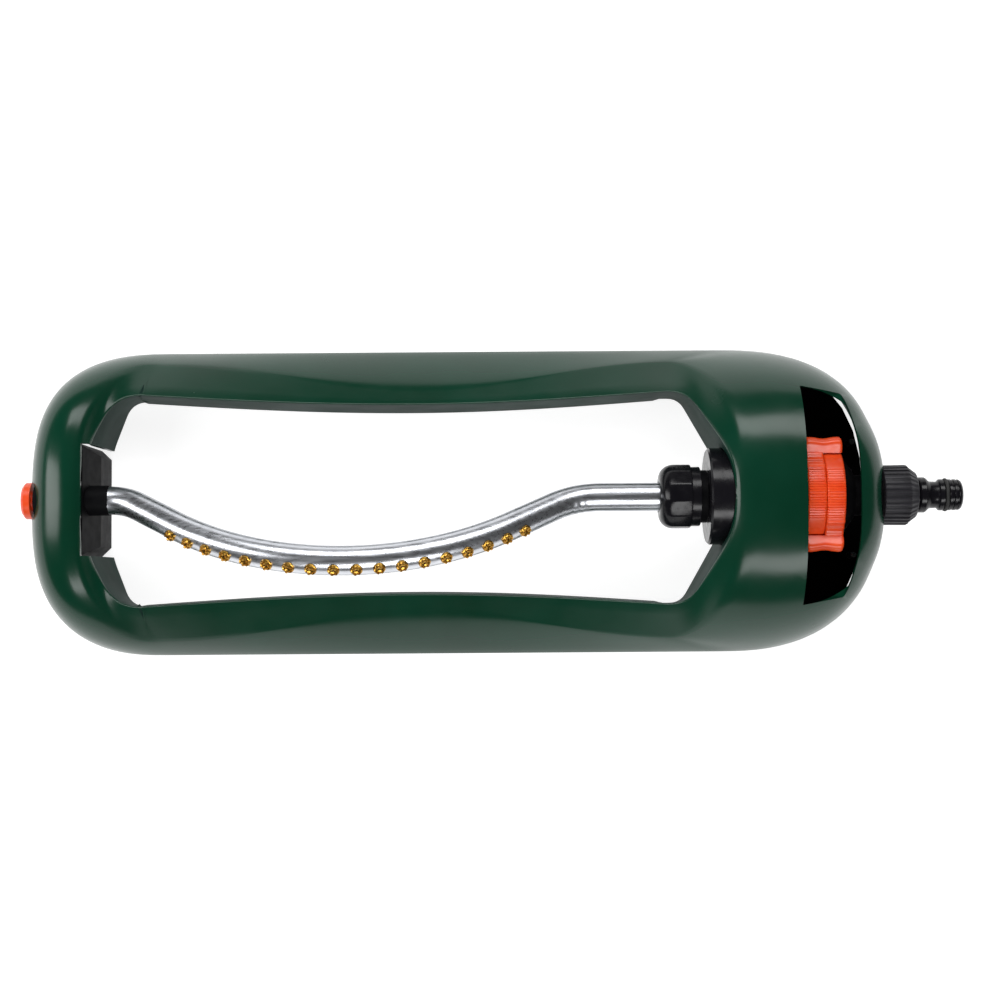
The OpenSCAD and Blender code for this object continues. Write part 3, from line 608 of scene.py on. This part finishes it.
def makeNut():
    r, step = nutForm["radius"], nutForm["step"]
    rings = [(0.9, nutForm["bore"], 0), (0.1, nutForm["bore"] + 0.5, 0), (0, nutForm["bore"] + 1.6, 0)]
    # the domed nose
    for i in range(13):
        a = math.pi / 2 * i / 12
        rings.append((7.4 * (1 - math.cos(a)), nutForm["bore"] + 2 + (r - nutForm["bore"] - 2) * math.sin(a),
                      nutForm["facets"] * 0.5 * (i / 12) ** 3))
    deep = nutForm["facets"] * 0.5
    rings += [(9, r, deep), (step - 0.8, r, deep), (step - 0.15, r - 0.35, deep * 0.7), (step, r - 0.9, 0),
              (step + 0.1, nutForm["neck"], 0), (nutForm["length"] - 0.3, nutForm["neck"], 0),
              (nutForm["length"], nutForm["neck"] - 0.4, 0), (nutForm["length"], 11, 0)]
    return shapedTurn("tubeNutMoulded", [(nutIn + x, q, d) for x, q, d in rings], flats, lean=True)


place(makeNut(), blackAbs, "tube", "black_gloss", ["tube_nut"], 26)

# hose tail: x from the face of the connector nut, radius
tailForm = {"shank": [(-6.6, 5.3), (-6.6, 10.2), (-4.8, 10.2), (-4.8, 8.0), (0.9, 8.0), (1.3, 8.7),
                      (2.0, 9.1), (4.4, 9.1), (5.2, 8.7), (6.6, 7.3), (7.4, 6.95), (10.6, 6.8),
                      (11.3, 7.1), (11.9, 7.9), (12.3, 8.05), (13.9, 8.05), (14.2, 7.8), (14.3, 6.5),
                      (16.5, 6.5), (16.6, 7.85), (16.8, 8.0), (18.0, 8.0), (18.2, 7.8), (18.3, 7.2),
                      (19.0, 7.2), (19.1, 7.8), (19.3, 8.0), (20.4, 8.0), (20.6, 7.8), (20.7, 7.3),
                      (21.3, 7.3), (21.4, 7.75), (21.6, 7.9), (22.4, 7.7), (23.1, 7.1), (23.5, 6.3),
                      (23.5, 5.4), (22.9, 5.2), (0, 5.2)]}
nutFace = inletX - 3.8 + 0.4 + 18.1
place(shapedTurn("hoseTailMoulded", [(nutFace + x, r, 0) for x, r in tailForm["shank"]], lambda a: 0),
      blackAbs, "base", "black_gloss", ["hose_tail"], 24)

# connector nut with its grip ribs
gripForm = {"radius": 15.5, "ribs": 32, "depth": 0.75}


def grip(a):
    return 0.5 - 0.5 * max(-1, min(1, 2.6 * math.cos(gripForm["ribs"] * a)))


def makeGripNut():
    start, r, deep = inletX - 3.8 + 0.4, gripForm["radius"], gripForm["depth"]
    rings = [(0, 10.6, 0), (0, r - 1.0, 0), (0.35, r - 0.25, 0.2), (0.7, r - 0.15, deep), (12.8, r, deep),
             (13.6, r - 0.4, deep), (14.1, r - 1.1, deep * 0.6), (17.2, 12.1, 0.1), (17.8, 11.7, 0),
             (18.1, 11.2, 0), (18.1, 8.4, 0), (15, 8.35, 0)]
    return shapedTurn("connectorNutMoulded", [(start + x, q, d) for x, q, d in rings], grip, 320)


place(makeGripNut(), greyNylon, "connector", "grey_plastic", ["connector_nut"], 30)
print("nut, hose tail and connector nut made")


# ---- limit rings ----

# ribbed drum with a thumb tab; angles in degrees from the top, side +1 is the far ring
ringForm = {"radius": 25.0, "width": 9.3, "bore": 21.6, "ribHalf": 31.0, "ribs": 20, "ribDepth": 0.45,
            "tabAngle": 62.0, "tabReach": 32.4, "tabHalf": 3.2, "tabRound": 2.0, "waist": 0.9, "gap": 0.3}
ringIn = inletWall + 37.2


# profile of the drum round its turn: ribs on top, a hollow, and the tab
def ringRadius(angle, side):
    form = ringForm
    a = angle * side
    r = form["radius"] - 0.5
    if abs(a) < form["ribHalf"]:
        wave = 0.5 + 0.5 * math.cos(2 * math.pi * a / (2 * form["ribHalf"]) * form["ribs"])
        return r - 0.1 + form["ribDepth"] * min(1, 2.2 * wave)
    for at, lift, half in ((35.5, 0.9, 2.2), (45.0, 0.55, 2.4)):
        r += lift * math.exp(-((a - at) / half) ** 4)
    across = abs(math.radians(a - form["tabAngle"]) * form["radius"])
    r += 1.4 * math.exp(-(max(0, across - form["tabHalf"]) / 1.6) ** 2)
    return r


# the tab grows from its own ring and reaches over the other one with a small gap
def makeTab(start, side, steps=14):
    form, low = ringForm, ringIn
    high = low + 2 * form["width"] + form["gap"]
    own = (start, start + form["width"])
    t = math.radians(form["tabAngle"]) * side
    places = sorted([mix(low, high, i / 40) for i in range(41)]
                    + [own[0] - 0.02 * (side < 0), own[1] + 0.02 * (side > 0)])
    points, faces = [], []
    for x in places:
        near = min(1.0, max(0.0, 1 - min(x - low, high - x) / form["tabRound"]))
        drop = form["tabRound"] * (1 - math.sqrt(1 - near ** 2))
        reach = form["tabReach"] - drop - form["waist"] * math.exp(-((x - (low + high) / 2) / 4.2) ** 2)
        inner = form["radius"] - 1.6 if own[0] <= x <= own[1] else form["radius"] + form["gap"]
        half = form["tabHalf"] - 0.35 * near ** 3
        outline = [(-half, inner)]
        for k in range(steps + 1):
            a = math.pi * k / steps
            outline.append((-half * math.cos(a), reach - 2.6 + 2.6 * math.sin(a) ** 0.7))
        outline.append((half, inner))
        points += [[x, r * math.sin(t) + c * math.cos(t),
                    tubeForm["axis"] + r * math.cos(t) - c * math.sin(t)] for c, r in outline]
    count = steps + 3
    for i in range(len(places) - 1):
        for k in range(count):
            n = (k + 1) % count
            faces.append([i * count + k, (i + 1) * count + k, (i + 1) * count + n, i * count + n])
    last = (len(places) - 1) * count
    return points, faces + [list(range(count)), [last + k for k in range(count)]]


def makeRing(name, start, side):
    form = ringForm
    angles = []
    a = -180.0
    while a < 180:
        angles.append(a)
        inside = abs(a) < 80
        a += 0.45 if inside else 4
    stations = [(0.0, 0.9), (0.25, 0.35), (0.9, 0), (form["width"] - 0.9, 0), (form["width"] - 0.25, 0.35),
                (form["width"], 0.9)]
    points, faces = [], []
    rings = [(0.0, form["bore"])] + [(x, None) for x, _ in stations] + [(form["width"], form["bore"])]
    for row, (x, fixed) in enumerate(rings):
        for angle in angles:
            full = ringRadius(angle, side)
            r = fixed if fixed else full - 0.6 * stations[row - 1][1]
            t = math.radians(angle)
            points.append([start + x, r * math.sin(t), tubeForm["axis"] + r * math.cos(t)])
    count = len(angles)
    for i in range(len(rings)):
        for k in range(count):
            n, j = (k + 1) % count, (i + 1) % len(rings)
            faces.append([i * count + k, j * count + k, j * count + n, i * count + n])
    tabPoints, tabFaces = makeTab(start, side)
    faces += [[k + len(points) for k in face] for face in tabFaces]
    return faceOut(makeMesh(name, points + tabPoints, faces))


for name, start, side in (("far", ringIn, 1), ("near", ringIn + ringForm["width"] + ringForm["gap"], -1)):
    place(makeRing(f"{name}LimitRing", start, side), orangeAbs, f"{name}_ring", "orange_plastic",
          [f"{name}_limit_ring"], 40)
print("limit rings made")

# small rounding on the moulded edges of the pieces kept from the design
for name in ("end_bearing", "end_trunnion", "cleaning_cap", "motor_flange", "motor_case", "drive_spindle",
             "motor_cover", "reversing_valve", "jet_plate", "gear_plate"):
    addBevel(nodes[name], 0.3 if name in ("cleaning_cap", "jet_plate", "gear_plate") else 0.5)


# pale studio floor, lit from below as well so that shadows stay faint
def makeFloor(size=6.0, drop=0.0002):
    mesh = bpy.data.meshes.new("studioFloor")
    half = size / 2
    corners = [(-half, -half), (half, -half), (half, half), (-half, half)]
    mesh.from_pydata([(x, y, -drop) for x, y in corners], [], [(0, 1, 2, 3)])
    floor = bpy.data.objects.new("studioFloor", mesh)
    scene.collection.objects.link(floor)
    material, tree, shader, place = newMaterial("paleFloor", Roughness=0.9, Specular_IOR_Level=0.1)
    shader.inputs["Base Color"].default_value = hexColour("#b0b0b0")
    shader.inputs["Emission Color"].default_value = hexColour("#ffffff")
    shader.inputs["Emission Strength"].default_value = 0.85
    mesh.materials.append(material)


def addSoftbox(name, at, aim, size, power, colour="#ffffff"):
    light = bpy.data.lights.new(name, "AREA")
    light.shape = "RECTANGLE"
    light.size, light.size_y = size
    light.energy = power
    light.color = hexColour(colour)[:3]
    lamp = bpy.data.objects.new(name, light)
    scene.collection.objects.link(lamp)
    lamp.location = at
    lamp.rotation_euler = (Vector(aim) - Vector(at)).to_track_quat("-Z", "Y").to_euler()


def addWorld(level):
    world = bpy.data.worlds.new("studio")
    world.use_nodes = True
    world.node_tree.nodes["Background"].inputs["Color"].default_value = (level, level, level, 1)
    scene.world = world


view = {"distance": 0.901, "axisHeight": 0.039, "tilt": 2.8, "roll": 0.40, "lens": 63.0,
        "aimX": 0.0041, "aimY": -0.0010}


# looks almost straight down, from a little way toward the near side
def addCamera():
    tilt, roll = math.radians(view["tilt"]), math.radians(view["roll"])
    back = Vector((0, -math.sin(tilt), math.cos(tilt)))
    up = Vector((0, math.cos(tilt), math.sin(tilt)))
    right = Vector((1, 0, 0))
    turnedRight = math.cos(roll) * right - math.sin(roll) * up
    turnedUp = math.sin(roll) * right + math.cos(roll) * up
    camera = bpy.data.objects.new("camera", bpy.data.cameras.new("camera"))
    camera.data.lens = view["lens"]
    camera.data.sensor_width = 36
    scene.collection.objects.link(camera)
    place = Vector((view["aimX"], view["aimY"], view["axisHeight"])) + back * view["distance"]
    turn = Matrix((turnedRight, turnedUp, back)).transposed().to_4x4()
    camera.matrix_world = Matrix.Translation(place) @ turn
    scene.camera = camera


makeFloor()
addWorld(0.06)
addSoftbox("farSoftbox", (0.1, 1.3, 1.1), (0, 0, 0), (1.6, 0.6), 20)
addSoftbox("nearSoftbox", (0.2, -1.2, 1.2), (0, 0, 0), (1.4, 0.5), 16)
addSoftbox("leftSoftbox", (-1.4, 0.1, 1.0), (0, 0, 0), (0.5, 1.2), 14)
addCamera()
scene.view_settings.view_transform = "Standard"
print("floor, lights and camera placed")
